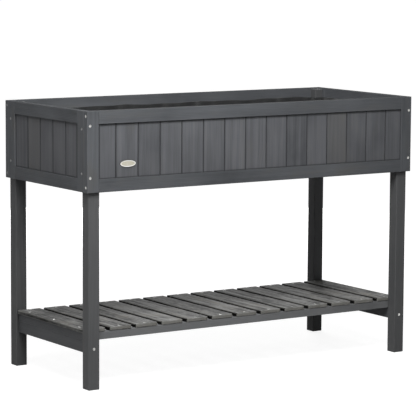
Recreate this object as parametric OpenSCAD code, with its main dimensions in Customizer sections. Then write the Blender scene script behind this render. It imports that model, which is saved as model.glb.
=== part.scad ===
// Raised garden bed on four legs: a framed box of tongue-and-groove boards with
// a slatted shelf between the legs. Millimetres, +Z up, the long front faces -Y.
// The origin is on the ground, under the middle of the bed.

/* [Bed] */
// Length of the box over its front and rear panels
bed_l = 1100; // [800:10:1400]
// Width of the box over its panels
bed_w = 460; // [380:5:560]
// Height of the rim above the ground
bed_h = 760; // [620:10:900]
// Height of the box panels
panel_h = 220; // [200:5:260]

/* [Panel frames] */
// Thickness of the stiles and rails
frame_t = 18; // [16:0.5:20]
// Width of the stiles
stile_w = 36; // [32:1:44]
// Height of the top and bottom rails
rail_h = 36; // [32:1:44]
// Depth of the groove round each frame
groove_d = 8; // [6:0.5:9]
// Width of the eased edges on the sawn wood
ease = 1; // [0.4:0.1:1.5]

/* [Panel boards] */
// Thickness of the tongue-and-groove boards
board_t = 9; // [8:0.5:10]
// Width that one board covers
board_cover = 70.5; // [55:0.5:90]
// Length of the tongues
tongue_l = 5; // [3:0.5:6]
// Thickness of the tongues
tongue_t = 3; // [2.5:0.1:3.4]
// Depth of the V joint between two boards
vee = 2.2; // [1:0.1:2.4]
// Flat left between a V joint and the groove or tongue behind it
vee_flat = 0.3; // [0.2:0.1:0.6]
// Clearance on each side of a tongue, and of a board in its groove
fit = 0.2; // [0.1:0.05:0.3]
// Clearance at the end of a board or tenon in its groove
seat = 0.3; // [0.2:0.1:0.5]

/* [Legs] */
// Side of the square legs
leg_s = 34; // [30:1:40]
// Distance from the panels' outer faces in to the legs' faces
leg_inset = 9; // [8:1:14]
// Distance from the rim down to the legs' tops
leg_drop = 3; // [1:1:10]
// Width of the eased edges on the legs
leg_ease = 1.5; // [0.5:0.1:2.5]

/* [Shelf] */
// Height of the shelf's top face above the ground
shelf_z = 162; // [140:2:240]
// Width of one slat
slat_w = 73; // [60:1:80]
// Thickness of the slats
slat_t = 10; // [8:0.5:14]
// Number of slats
slat_count = 13; // [8:1:13]
// Distance that the end slats stand out past the shelf's side rails
slat_over = 5; // [0:1:6]
// Gap between the slats' ends and the legs
slat_end_gap = 1; // [0.3:0.1:2]
// Width of the eased edges on the slats
slat_ease = 1.5; // [0.5:0.1:2.5]
// Radius of the slats' corners, seen from above
slat_corner = 7; // [2:0.5:12]
// Height of the side rails that carry the shelf
shelf_rail_h = 32; // [26:1:44]
// Thickness of the side rails and of the side battens on them
shelf_rail_t = 20; // [16:1:24]
// Height of the battens under the slats
batten_h = 22; // [20:1:30]
// Width of the front and rear battens
batten_w = 20; // [16:1:28]
// Distance that those battens stand back from the slats' ends
batten_back = 1.5; // [0:0.5:4]

/* [Floor] */
// Width and height of the ledgers that carry the floor
ledger_s = 18; // [15:1:24]
// Distance from the box's lower edge up to the ledgers
ledger_up = 5; // [2:1:10]
// Gap between a ledger's ends and the legs
ledger_gap = 1; // [0.3:0.1:2]
// Width of one floor board
floor_w = 100; // [80:1:104]
// Thickness of the floor boards
floor_t = 10; // [8:0.5:14]
// Number of floor boards
floor_count = 9; // [6:1:9]
// Gap between the floor boards and the panels and legs
floor_gap = 1.5; // [0.5:0.1:3]

/* [Liner] */
// Distance from the rim down to the liner's upper edge
liner_drop = 25; // [15:1:60]
// Thickness that the liner takes up
liner_t = 2; // [1:0.5:3]
// Gap between the liner and the wood
liner_gap = 0.3; // [0.2:0.1:0.6]

/* [Screws] */
// Diameter of the screws' heads
head_d = 8; // [6.5:0.5:9]
// Height of the countersunk part of the heads
head_h = 2.6; // [2:0.1:3.5]
// Height of the heads' straight rim
head_rim = 0.5; // [0.3:0.1:0.8]
// Diameter of the screws' shanks
shank_d = 4; // [3:0.5:4.5]
// Clearance round a screw in its hole
hole_gap = 0.1; // [0.05:0.05:0.2]
// Distance from a stile's ends to the screws into the rails
end_screw_in = 14; // [10:1:22]
// Depth that those screws reach into the rails
end_screw_bite = 24; // [16:1:40]
// Distance from the panels' edges to the screws at the box's corners
corner_screw_in = 40; // [34:1:44]
// Distance from the panels' edges to the screws into the legs
leg_screw_in = 50; // [50:1:70]
// Depth that both kinds reach into the wood behind the panels
panel_screw_bite = 20; // [14:1:20]
// Height of the screws through the legs above the shelf rails' lower edges
rail_screw_up = 15; // [10:1:25]
// Depth that they reach into the shelf rails
rail_screw_bite = 27; // [16:1:40]
// Depth that the slats' screws reach into what is under them
slat_screw_bite = 17; // [12:1:18]
// Distance from the slats' ends to the outer screws over the side battens
side_screw_in = 46; // [40:1:80]
// Number of screws in each ledger
ledger_screw_count = 5; // [3:1:7]
// Distance from a ledger's ends to its first and last screw
ledger_screw_in = 60; // [30:5:90]
// Depth that the ledgers' screws reach into the rails
ledger_screw_bite = 12; // [8:1:13]

/* [Hidden] */
$fn = 48;
// How far a cut reaches past the face that it opens
cut = 1;

// The box stands above box_z, and its end panels lie between the long ones.
box_z = bed_h - panel_h;
end_l = bed_w - 2 * frame_t;
board_y = (frame_t - board_t) / 2;
board_reach = groove_d - seat;

// How far in from the box's faces a leg reaches, its middle, and the middle
// of what is left of it between the panels.
leg_in = leg_inset + leg_s;
leg_mid = leg_inset + leg_s / 2;
leg_top_mid = (frame_t + leg_in) / 2;

// The slats lie between the front and rear legs, on a frame of four battens
// that rests on the side rails.
slat_z = shelf_z - slat_t;
batten_z = slat_z - batten_h;
shelf_rail_z = batten_z - shelf_rail_h;
slat_y = leg_in + slat_end_gap;
slat_l = bed_w - 2 * slat_y;
shelf_rail_x = leg_mid - shelf_rail_t / 2;
shelf_rail_l = bed_w - 2 * leg_in;
slat_x = shelf_rail_x - slat_over;
slat_pitch = (bed_l - 2 * slat_x - slat_w) / (slat_count - 1);
batten_x = shelf_rail_x + shelf_rail_t;
batten_y = slat_y + batten_back;

// The floor boards lie on the ledgers, and the liner on the floor boards.
ledger_x = leg_in + ledger_gap;
ledger_l = bed_l - 2 * ledger_x;
ledger_z = box_z + ledger_up;
floor_z = ledger_z + ledger_s;
floor_x = frame_t + floor_gap;
floor_l = bed_w - 2 * floor_x;
floor_pitch = (bed_l - 2 * floor_x - floor_w) / (floor_count - 1);
floor_notch = leg_in + floor_gap - floor_x;
liner_z = floor_z + floor_t + liner_gap;

// Places
// Everything is drawn with the front left corner of the box at X = 0, Y = 0.

module in_frame() translate([-bed_l / 2, -bed_w / 2, 0]) children();

// A corner of the bed: right and rear are 0 or 1, and what is drawn is mirrored there.
module corner(right, rear)
    translate([right * bed_l, rear * bed_w, 0])
        mirror([right, 0, 0]) mirror([0, rear, 0]) children();

// A panel is drawn with its outer face on Y = 0 and its length along X.
module front_panel() in_frame() translate([0, 0, box_z]) children();
module rear_panel() in_frame() translate([bed_l, bed_w, box_z]) rotate([0, 0, 180]) children();
module left_panel() in_frame() translate([0, bed_w - frame_t, box_z]) rotate([0, 0, -90]) children();
module right_panel() in_frame() translate([bed_l, frame_t, box_z]) rotate([0, 0, 90]) children();

// One end of a panel: at the far end, what is drawn is mirrored.
module panel_end(l, far) translate([far * l, 0, 0]) mirror([far, 0, 0]) children();

module along_x() rotate([0, 90, 0]) children();
module along_y() rotate([-90, 0, 0]) children();
module downward() rotate([180, 0, 0]) children();

// Wood

// A rectangle whose corners are cut back by e.
module eased_rect(a, b, e)
    polygon([[e, 0], [a - e, 0], [a, e], [a, b - e], [a - e, b], [e, b], [0, b - e], [0, e]]);

// A sawn block with all its edges eased.
module eased_block(s, e) intersection() {
    linear_extrude(s[2]) eased_rect(s[0], s[1], e);
    translate([0, s[1], 0]) rotate([90, 0, 0]) linear_extrude(s[1]) eased_rect(s[0], s[2], e);
    rotate([90, 0, 90]) linear_extrude(s[0]) eased_rect(s[1], s[2], e);
}

module sawn(s) eased_block(s, ease);

// A rectangle whose corners are rounded with radius r.
module round_rect(a, b, r) {
    translate([r, 0]) square([a - 2 * r, b]);
    translate([0, r]) square([a, b - 2 * r]);
    for (x = [r, a - r], y = [r, b - r]) translate([x, y]) circle(r);
}

// Screws
// A screw points along +Z with the top of its head at Z = 0. The same outline,
// grown by a clearance, cuts its hole.

module screw(l, grow = 0) {
    top = grow > 0 ? -cut : 0;
    rotate_extrude() polygon([
        [0, top], [head_d / 2 + grow, top], [head_d / 2 + grow, head_rim + grow],
        [shank_d / 2 + grow, head_h + grow], [shank_d / 2 + grow, l - shank_d],
        [0, l + grow]
    ]);
}

// Through the stiles' outer edges into the rails' ends, in a panel of length l.
module end_screws(l, grow = 0)
    for (far = [0, 1]) panel_end(l, far)
        for (z = [end_screw_in, panel_h - end_screw_in])
            translate([0, frame_t / 2, z]) along_x() screw(stile_w + end_screw_bite, grow);

// Through the front and rear panels into the end panels' edges, at one corner.
module corner_pair(grow = 0)
    for (z = [corner_screw_in, panel_h - corner_screw_in])
        translate([frame_t / 2, 0, box_z + z]) along_y() screw(frame_t + panel_screw_bite, grow);

// Through the end panels into a leg.
module leg_pair(grow = 0)
    for (z = [leg_screw_in, panel_h - leg_screw_in])
        translate([0, leg_top_mid, box_z + z]) along_x() screw(frame_t + panel_screw_bite, grow);

// Through a leg into the end of a shelf rail.
module rail_screw(grow = 0)
    translate([leg_mid, leg_inset, shelf_rail_z + rail_screw_up])
        along_y() screw(leg_s + rail_screw_bite, grow);

// One through each end of a slat into the front and rear battens, and more
// through the end slats into the side battens. Slats are counted from the left.
function slat_left(i) = slat_x + (i - 1) * slat_pitch;
function batten_rows() = [batten_y + batten_w / 2, bed_w - batten_y - batten_w / 2];
function side_rows() = [slat_y + side_screw_in, bed_w / 2, bed_w - slat_y - side_screw_in];

module slat_screw(x, y, grow = 0)
    translate([x, y, shelf_z]) downward() screw(slat_t + slat_screw_bite, grow);

module batten_screws(i, grow = 0)
    for (y = batten_rows()) slat_screw(slat_left(i) + slat_w / 2, y, grow);

module side_screws(right, grow = 0)
    corner(right, 0) for (y = side_rows()) slat_screw(leg_mid, y, grow);

// Through the front ledger into the bottom rail behind it.
module ledger_row(grow = 0) {
    step = (ledger_l - 2 * ledger_screw_in) / (ledger_screw_count - 1);
    for (i = [0 : ledger_screw_count - 1])
        translate([ledger_x + ledger_screw_in + i * step, frame_t + ledger_s, ledger_z + ledger_s / 2])
            rotate([90, 0, 0]) screw(ledger_s + ledger_screw_bite, grow);
}

// Panels

module stile(l, far) {
    difference() {
        panel_end(l, far) difference() {
            sawn([stile_w, frame_t, panel_h]);
            translate([stile_w - groove_d, board_y - fit, -cut])
                cube([groove_d + cut, board_t + 2 * fit, panel_h + 2 * cut]);
        }
        end_screws(l, hole_gap);
    }
}

// A rail between the stiles, with a stub tenon at each end that fills the
// stile's groove as far as the boards. The lower rail's groove is in its top.
module rail(l, top) {
    tenon_h = rail_h - groove_d;
    translate([0, 0, top ? panel_h - rail_h : 0]) difference() {
        union() {
            translate([stile_w, 0, 0]) sawn([l - 2 * stile_w, frame_t, rail_h]);
            translate([stile_w - board_reach, board_y, top ? groove_d : 0])
                cube([l - 2 * stile_w + 2 * board_reach, board_t, tenon_h]);
        }
        translate([stile_w - cut, board_y - fit, top ? -cut : tenon_h])
            cube([l - 2 * stile_w + 2 * cut, board_t + 2 * fit, groove_d + cut]);
        translate([0, 0, top ? rail_h - panel_h : 0]) end_screws(l, hole_gap);
    }
}

// The outline of one board, seen from above, front face on Y = 0. Its left edge
// has the groove and its right edge the tongue, unless it ends in a stile.
module board_outline(left, right, is_first, is_last) {
    tongue_y = (board_t - tongue_t) / 2;
    v = min(vee, tongue_y - fit - vee_flat);
    depth = tongue_l + seat;
    tongue_edge = [
        [right, v], [right, tongue_y], [right + tongue_l, tongue_y],
        [right + tongue_l, tongue_y + tongue_t], [right, tongue_y + tongue_t], [right, board_t]
    ];
    groove_edge = [
        [left, board_t], [left, tongue_y + tongue_t + fit], [left + depth, tongue_y + tongue_t + fit],
        [left + depth, tongue_y - fit], [left, tongue_y - fit], [left, v]
    ];
    polygon(concat(
        [[left + (is_first ? 0 : v), 0], [right - (is_last ? 0 : v), 0]],
        is_last ? [[right, board_t]] : tongue_edge,
        is_first ? [[left, board_t]] : groove_edge
    ));
}

// The row of boards in a panel. The first and last take up what the full
// boards leave, and every edge at the frame reaches into its groove.
module boards(l) {
    inner = l - 2 * stile_w;
    count = max(3, round(inner / board_cover));
    end_cover = (inner - (count - 2) * board_cover) / 2;
    low = rail_h - board_reach;
    for (i = [0 : count - 1]) {
        is_first = i == 0;
        is_last = i == count - 1;
        joint = stile_w + end_cover + (i - 1) * board_cover;
        left = is_first ? stile_w - board_reach : joint + fit / 2;
        right = is_last ? l - stile_w + board_reach
            : is_first ? stile_w + end_cover - fit / 2 : joint + board_cover - fit / 2;
        translate([0, board_y, low]) linear_extrude(panel_h - 2 * low)
            board_outline(left, right, is_first, is_last);
    }
}

// Legs

// A leg at the front left corner. Above the box's lower edge its two outer faces
// are cut back to the panels' inner faces, so the panels stand on its shoulders.
module leg_shape() difference() {
    translate([leg_inset, leg_inset, 0]) eased_block([leg_s, leg_s, bed_h - leg_drop], leg_ease);
    translate([0, 0, box_z]) cube([frame_t, bed_w, panel_h]);
    translate([0, 0, box_z]) cube([bed_l, frame_t, panel_h]);
    leg_pair(hole_gap);
    rail_screw(hole_gap);
}

module leg(right, rear) color("#54575a") in_frame() corner(right, rear) leg_shape();

// Frame members and boards, each in its panel

module frame_colour() color("#5f6266") children();
module board_colour() color("#66686c") children();

// A stile of the front or rear panel, drilled for the corner screws.
module long_stile(far) frame_colour() difference() {
    stile(bed_l, far);
    panel_end(bed_l, far) translate([0, 0, -box_z]) corner_pair(hole_gap);
}

// The end panels' stiles take the corner screws in their edges and the leg
// screws through their faces. Those are drawn at the corners of the bed.
module end_stile(right, rear) frame_colour() difference() {
    if (right) right_panel() stile(end_l, rear);
    else left_panel() stile(end_l, 1 - rear);
    in_frame() corner(right, rear) {
        corner_pair(hole_gap);
        leg_pair(hole_gap);
    }
}

module front_bottom_rail() frame_colour() difference() {
    front_panel() rail(bed_l, false);
    in_frame() ledger_row(hole_gap);
}
module rear_bottom_rail() frame_colour() difference() {
    rear_panel() rail(bed_l, false);
    in_frame() corner(0, 1) ledger_row(hole_gap);
}

// Floor

module ledger(rear) color("#6a6c6e") in_frame() corner(0, rear) difference() {
    translate([ledger_x, frame_t, ledger_z]) sawn([ledger_l, ledger_s, ledger_s]);
    ledger_row(hole_gap);
}

// The end boards are notched round the legs.
module floor_board(i) color("#707274") in_frame() difference() {
    translate([floor_x + (i - 1) * floor_pitch, floor_x, floor_z])
        sawn([floor_w, floor_l, floor_t]);
    if (i == 1 || i == floor_count) for (rear = [0, 1])
        corner(i == 1 ? 0 : 1, rear) translate([floor_x - cut, floor_x - cut, floor_z - cut])
            cube([floor_notch + cut, floor_notch + cut, floor_t + 2 * cut]);
}

// Shelf

module shelf_rail(right) color("#505356") in_frame() corner(right, 0) difference() {
    translate([shelf_rail_x, leg_in, shelf_rail_z]) sawn([shelf_rail_t, shelf_rail_l, shelf_rail_h]);
    rail_screw(hole_gap);
    corner(0, 1) rail_screw(hole_gap);
}

module side_batten(right) color("#56595b") in_frame() corner(right, 0) difference() {
    translate([shelf_rail_x, slat_y, batten_z]) sawn([shelf_rail_t, slat_l, batten_h]);
    side_screws(0, hole_gap);
}

// The front or rear batten lies between the side battens.
module long_batten(rear) color("#6c6e70") in_frame() corner(0, rear) difference() {
    translate([batten_x, batten_y, batten_z]) sawn([bed_l - 2 * batten_x, batten_w, batten_h]);
    for (i = [1 : slat_count]) batten_screws(i, hole_gap);
}

module shelf_slat(i) color("#77797a") in_frame() difference() {
    translate([slat_left(i), slat_y, slat_z]) intersection() {
        eased_block([slat_w, slat_l, slat_t], slat_ease);
        linear_extrude(slat_t) round_rect(slat_w, slat_l, slat_corner);
    }
    batten_screws(i, hole_gap);
    if (i == 1) side_screws(0, hole_gap);
    if (i == slat_count) side_screws(1, hole_gap);
}

// Liner

// The space inside the panels and legs, drawn in by d from the wood.
module bay_outline(d) difference() {
    translate([frame_t + d, frame_t + d]) square([bed_l - 2 * (frame_t + d), bed_w - 2 * (frame_t + d)]);
    for (x = [0, bed_l - leg_in - d], y = [0, bed_w - leg_in - d])
        translate([x, y]) square(leg_in + d);
}

module liner() color("#2c2e2f") in_frame() difference() {
    translate([0, 0, liner_z])
        linear_extrude(bed_h - liner_drop - liner_z) bay_outline(liner_gap);
    translate([0, 0, liner_z + liner_t])
        linear_extrude(panel_h) bay_outline(liner_gap + liner_t);
}

// Screws, in groups that are alike

module steel() color("#c9cccd") children();

module stile_end_screws() steel() {
    front_panel() end_screws(bed_l);
    rear_panel() end_screws(bed_l);
    left_panel() end_screws(end_l);
    right_panel() end_screws(end_l);
}
module panel_screws() steel() in_frame()
    for (right = [0, 1], rear = [0, 1]) corner(right, rear) {
        corner_pair();
        leg_pair();
    }
module shelf_rail_screws() steel() in_frame()
    for (right = [0, 1], rear = [0, 1]) corner(right, rear) rail_screw();
module slat_screws() steel() in_frame() {
    for (i = [1 : slat_count]) batten_screws(i);
    for (right = [0, 1]) side_screws(right);
}
module ledger_screws() steel() in_frame()
    for (rear = [0, 1]) corner(0, rear) ledger_row();

leg(0, 0);  // leg_front_left
leg(1, 0);  // leg_front_right
leg(0, 1);  // leg_rear_left
leg(1, 1);  // leg_rear_right

frame_colour() front_panel() rail(bed_l, true);  // front_top_rail
front_bottom_rail();
front_panel() long_stile(0);  // front_left_stile
front_panel() long_stile(1);  // front_right_stile
board_colour() front_panel() boards(bed_l);  // front_boards

frame_colour() rear_panel() rail(bed_l, true);  // rear_top_rail
rear_bottom_rail();
rear_panel() long_stile(1);  // rear_left_stile
rear_panel() long_stile(0);  // rear_right_stile
board_colour() rear_panel() boards(bed_l);  // rear_boards

frame_colour() left_panel() rail(end_l, true);  // left_top_rail
frame_colour() left_panel() rail(end_l, false);  // left_bottom_rail
end_stile(0, 0);  // left_front_stile
end_stile(0, 1);  // left_rear_stile
board_colour() left_panel() boards(end_l);  // left_boards

frame_colour() right_panel() rail(end_l, true);  // right_top_rail
frame_colour() right_panel() rail(end_l, false);  // right_bottom_rail
end_stile(1, 0);  // right_front_stile
end_stile(1, 1);  // right_rear_stile
board_colour() right_panel() boards(end_l);  // right_boards

ledger(0);  // front_ledger
ledger(1);  // rear_ledger
for (i = [1 : floor_count]) floor_board(i);

shelf_rail(0);  // shelf_left_rail
shelf_rail(1);  // shelf_right_rail
side_batten(0);  // shelf_left_batten
side_batten(1);  // shelf_right_batten
long_batten(0);  // shelf_front_batten
long_batten(1);  // shelf_rear_batten
for (i = [1 : slat_count]) shelf_slat(i);

liner();
stile_end_screws();
panel_screws();
shelf_rail_screws();
slat_screws();
ledger_screws();
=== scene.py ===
"""Looks of a raised garden bed: stained wood, felt liner, zinc screws and a blank plate.

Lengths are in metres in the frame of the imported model: the long front faces -Y and the
origin is on the ground, under the middle of the bed. Colours are linear RGB.
"""

import logging
import math
from dataclasses import dataclass, field, replace
from enum import IntEnum

import bmesh
import bpy
import numpy as np
from mathutils import Matrix, Vector


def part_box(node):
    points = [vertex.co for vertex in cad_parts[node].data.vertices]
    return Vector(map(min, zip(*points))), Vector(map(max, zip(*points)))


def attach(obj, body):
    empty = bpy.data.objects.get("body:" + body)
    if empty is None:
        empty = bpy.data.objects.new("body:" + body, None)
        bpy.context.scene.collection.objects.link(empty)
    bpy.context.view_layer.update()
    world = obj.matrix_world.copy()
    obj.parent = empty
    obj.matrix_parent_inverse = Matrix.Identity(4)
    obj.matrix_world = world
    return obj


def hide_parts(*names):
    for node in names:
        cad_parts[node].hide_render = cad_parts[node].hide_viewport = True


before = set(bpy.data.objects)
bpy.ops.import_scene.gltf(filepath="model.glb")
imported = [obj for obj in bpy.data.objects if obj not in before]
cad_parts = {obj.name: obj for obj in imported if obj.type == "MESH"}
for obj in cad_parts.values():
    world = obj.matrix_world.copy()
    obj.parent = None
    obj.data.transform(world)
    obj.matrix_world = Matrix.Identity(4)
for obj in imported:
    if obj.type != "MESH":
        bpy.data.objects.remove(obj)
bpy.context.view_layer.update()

LOG = logging.getLogger("garden_bed")
PHOTO_SIDE = 416
MM = 0.001

Colour = tuple[float, float, float]
WHITE: Colour = (1.0, 1.0, 1.0)


class Axis(IntEnum):
    """A direction of the frame: along the bed, from front to rear, or up."""

    X = 0
    Y = 1
    Z = 2


@dataclass(frozen=True)
class Pattern:
    """A noise: its cells in a metre across and along the grain, its finer layers, and its warp."""

    across: float
    along: float
    detail: float = 2.0
    roughness: float = 0.5
    warp: float = 0.0


class Value:
    """A shader value or vector whose operators add Math nodes to its tree."""

    def __init__(self, tree: "ShaderTree", socket: bpy.types.NodeSocket) -> None:
        """Wraps an output socket.

        Args:
            tree: The tree that the socket belongs to.
            socket: The output socket.
        """
        self.tree = tree
        self.socket = socket

    def __add__(self, other: "Value | float") -> "Value":
        """The sum of the two."""
        return self.tree.maths("ADD", self, other)

    def __sub__(self, other: "Value | float") -> "Value":
        """This less the other."""
        return self.tree.maths("SUBTRACT", self, other)

    def __rsub__(self, other: float) -> "Value":
        """The other less this."""
        return self.tree.maths("SUBTRACT", other, self)

    def __mul__(self, other: "Value | float") -> "Value":
        """The product of the two."""
        return self.tree.maths("MULTIPLY", self, other)

    def __truediv__(self, other: "Value | float") -> "Value":
        """This divided by the other."""
        return self.tree.maths("DIVIDE", self, other)

    def __pow__(self, other: "Value | float") -> "Value":
        """This to the power of the other."""
        return self.tree.maths("POWER", self, other)

    def __abs__(self) -> "Value":
        """The size of this without its sign."""
        return self.tree.maths("ABSOLUTE", self)

    __radd__ = __add__
    __rmul__ = __mul__


class ShaderTree:
    """The node tree of a material or of the world, filled from Python expressions."""

    def __init__(self, owner: bpy.types.ID) -> None:
        """Empties the owner's node tree.

        Args:
            owner: A material or a world.
        """
        owner.use_nodes = True
        self.nodes = owner.node_tree.nodes
        self.links = owner.node_tree.links
        self.nodes.clear()

    def node(self, kind: str, settings: dict | None = None, inputs: dict | None = None) -> bpy.types.Node:
        """Adds one node.

        Args:
            kind: The node's type.
            settings: Attributes that are set first.
            inputs: For each socket, by name or number, a number, a tuple, a Value or a socket.

        Returns:
            The new node.
        """
        made = self.nodes.new(kind)
        for name, setting in (settings or {}).items():
            setattr(made, name, setting)
        for key, given in (inputs or {}).items():
            if isinstance(given, Value):
                self.links.new(given.socket, made.inputs[key])
            elif isinstance(given, bpy.types.NodeSocket):
                self.links.new(given, made.inputs[key])
            elif isinstance(given, tuple) and made.inputs[key].type == "RGBA":
                made.inputs[key].default_value = (*given, 1.0)
            else:
                made.inputs[key].default_value = given
        return made

    def maths(self, operation: str, *terms: "Value | float") -> Value:
        """One Math node on one to three terms, returned as a value."""
        made = self.node("ShaderNodeMath", {"operation": operation}, dict(enumerate(terms)))
        return Value(self, made.outputs[0])

    def least(self, a: Value, b: "Value | float") -> Value:
        """The smaller of the two."""
        return self.maths("MINIMUM", a, b)

    def most(self, a: Value, b: "Value | float") -> Value:
        """The larger of the two."""
        return self.maths("MAXIMUM", a, b)

    def ease(self, value: Value, low: float, high: float) -> Value:
        """A smooth step of a value from 0 to 1.

        Args:
            value: What is mapped.
            low: Where the step begins.
            high: Where it ends; it may be under low.

        Returns:
            The step's value.
        """
        backwards = high < low
        made = self.node("ShaderNodeMapRange", {"interpolation_type": "SMOOTHSTEP"}, {
            "Value": value,
            "From Min": min(low, high),
            "From Max": max(low, high),
            "To Min": float(backwards),
            "To Max": float(not backwards),
        })
        return Value(self, made.outputs[0])

    def vector(self, x: "Value | float", y: "Value | float", z: "Value | float") -> Value:
        """A vector of three values."""
        return Value(self, self.node("ShaderNodeCombineXYZ", None, {0: x, 1: y, 2: z}).outputs[0])

    def split(self, vector: "Value | bpy.types.NodeSocket") -> list[Value]:
        """The three values of a vector."""
        made = self.node("ShaderNodeSeparateXYZ", None, {0: vector})
        return [Value(self, out) for out in made.outputs]

    def place(self) -> list[Value]:
        """The point that is shaded, in the frame, as three values."""
        return self.split(self.node("ShaderNodeTexCoord").outputs["Object"])

    def normal(self, axis: Axis) -> Value:
        """How far the surface faces along a direction, from -1 to 1."""
        return self.split(self.node("ShaderNodeNewGeometry").outputs["Normal"])[axis]

    def noise(self, point: list[Value], pattern: Pattern) -> Value:
        """Smooth noise from 0 to 1.

        Args:
            point: Where it is read, as two values across the grain and one along it.
            pattern: The noise.

        Returns:
            The noise.
        """
        a, b, c = point
        made = self.node("ShaderNodeTexNoise", {"noise_dimensions": "3D"}, {
            "Vector": self.vector(a * pattern.across, b * pattern.across, c * pattern.along),
            "Scale": 1.0, "Detail": pattern.detail, "Roughness": pattern.roughness,
            "Distortion": pattern.warp,
        })
        return Value(self, made.outputs["Fac"])

    def mix(self, a: "Value | Colour", b: "Value | Colour", share: "Value | float") -> Value:
        """A colour from a to b.

        Args:
            a: The colour where share is 0.
            b: The colour where share is 1.
            share: How much of b there is.

        Returns:
            The mixed colour.
        """
        made = self.node("ShaderNodeMix", {"data_type": "RGBA"}, {0: share, 6: a, 7: b})
        return Value(self, made.outputs[2])

    def bump(self, height: Value, distance: float, strength: float) -> Value:
        """A normal bent by a height that is at most distance high."""
        sockets = {"Height": height, "Distance": distance, "Strength": strength}
        return Value(self, self.node("ShaderNodeBump", None, sockets).outputs["Normal"])

    def shader(self, kind: str, inputs: dict | None = None) -> bpy.types.NodeSocket:
        """The output of a new shader node."""
        return self.node(kind, None, inputs).outputs[0]

    def blend(self, share: "Value | bpy.types.NodeSocket", a: bpy.types.NodeSocket,
              b: bpy.types.NodeSocket) -> bpy.types.NodeSocket:
        """A shader from a, where share is 0, to b, where it is 1."""
        return self.shader("ShaderNodeMixShader", {0: share, 1: a, 2: b})

    def surface(self, inputs: dict) -> None:
        """Ends a material in a Principled shader with these sockets."""
        made = self.node("ShaderNodeBsdfPrincipled", None, inputs)
        self.node("ShaderNodeOutputMaterial", None, {"Surface": made.outputs[0]})


def new_material(name: str) -> tuple[bpy.types.Material, ShaderTree, list[Value]]:
    """A new material, its empty node tree, and the point that is shaded.

    Args:
        name: The material's name.

    Returns:
        The three of them.
    """
    material = bpy.data.materials.new(name)
    tree = ShaderTree(material)
    return material, tree, tree.place()


def new_object(name: str, data: bpy.types.ID) -> bpy.types.Object:
    """Puts a new object into the scene.

    Args:
        name: The object's name.
        data: Its mesh, camera or lamp.

    Returns:
        The object.
    """
    made = bpy.data.objects.new(name, data)
    bpy.context.scene.collection.objects.link(made)
    return made


@dataclass(frozen=True)
class WoodFinish:
    """Planed softwood under a thin water-based stain.

    Deep and pale are the ends of its streaks, tint the wood that shows where the stain is
    thin, worn_and_lit_arris the paler arrises, partly rubbed and partly a painted highlight,
    and end the thirsty end grain. Streaks, fibres, ringed, clouds, specks and lots say how
    strongly each of these moves the tone, and warm how much more tint some boards have.
    Gap_shade is how much painted shade darkens the narrow long sides beside a gap, and brink
    how far from them it reaches over the face. Painted_end_light is how much paler, as if lit
    more, the two ends of a piece are painted than its middle. Lower_shade is how much painted
    shade darkens the lower part of a piece, which begins and ends at the heights in
    lower_shade_heights, and top_shade_and_matt how much darker the upper faces are painted,
    against the light from above, and how much more matt they are.
    """

    deep: Colour
    pale: Colour
    tint: Colour
    # Paler arrises: partly rubbed, partly a painted highlight.
    worn_and_lit_arris: Colour
    end: Colour
    tinted: float = 0.15
    # How much paler the arrises are: rubbing and a painted highlight.
    arris_wear_and_highlight: float = 0.25
    roughness: float = 0.62
    specular: float = 0.15
    streaks: float = 0.45
    fibres: float = 0.5
    ringed: float = 0.14
    clouds: float = 0.7
    cloud_size: float = 130 * MM
    lots: float = 0.14
    warm: float = 0.0
    specks: float = 0.0
    smudges: float = 0.2
    # Painted shade and light: on slat sides beside their gaps, paler slat ends, darker lower parts and
    # darker upper faces.
    gap_shade: float = 0.0
    brink: float = 3.0 * MM
    painted_end_light: float = 0.0
    lower_shade: float = 0.0
    lower_shade_heights: tuple[float, float] = (190 * MM, 120 * MM)
    top_shade_and_matt: float = 0.0
    ring_gap: float = 4.2 * MM
    pith_depth: float = 62 * MM
    knots: float = 0.12


@dataclass(frozen=True)
class BoardRow:
    """A row of upright boards that share a node.

    Across is the direction of the row, cover the width of one board, and face the distance
    from the frame's origin to the boards' outer faces. Opening is what the panel's frame
    leaves free, as its lowest and highest place along the row and its bottom and top, and
    lee how far the painted shade of the stile at its low and at its high end reaches over the
    boards. Lip is how dark the painted shade beside a V joint is, vee half the joint's width,
    and filled how much stain and painted shade the joint holds. The pairs deep, under, over
    and outer are distances at which this darkening begins and is full: stain and painted
    shade in a joint's depth, painted shade under the top rail and over the bottom rail, and
    its end behind the frame's face. Shades says how strong the painted shade is beside the
    low and the high stile, and under and over the rails.
    """

    across: Axis
    cover: float
    face: float
    opening: tuple[float, float, float, float]
    # Lee, lip and the fields below say where painted shade and stain darken the boards.
    lee: tuple[float, float]
    lip: float
    vee: float = 2.2 * MM
    deep: tuple[float, float] = (0.4 * MM, 1.1 * MM)
    under: tuple[float, float] = (9 * MM, 3 * MM)
    over: tuple[float, float] = (4 * MM, 1.5 * MM)
    outer: tuple[float, float] = (6 * MM, 4 * MM)
    filled: float = 0.92
    shades: tuple[float, float, float, float] = (0.75, 0.35, 0.55, 0.6)


@dataclass(frozen=True)
class Grain:
    """How the wood of one piece lies.

    Along is the direction of the grain, low and high are the piece's corners, and seed
    picks its own part of the pattern. Where one node is a row of boards, row describes it.
    For a rail or stile, inner is the direction to the middle of its panel, as an axis and a
    sign. For a slat, row_end is how far from the frame's middle the row of slats ends.
    """

    along: Axis
    low: Vector
    high: Vector
    seed: int
    row: BoardRow | None = None
    inner: tuple[Axis, float] | None = None
    row_end: float = 0.0


@dataclass(frozen=True)
class Figure:
    """The patterns of the wood at the shaded point, each from 0 to 1."""

    streak: Value
    fibre: Value
    mottle: Value
    cloud: Value
    speck: Value | float
    late: Value
    eye: Value


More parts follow.
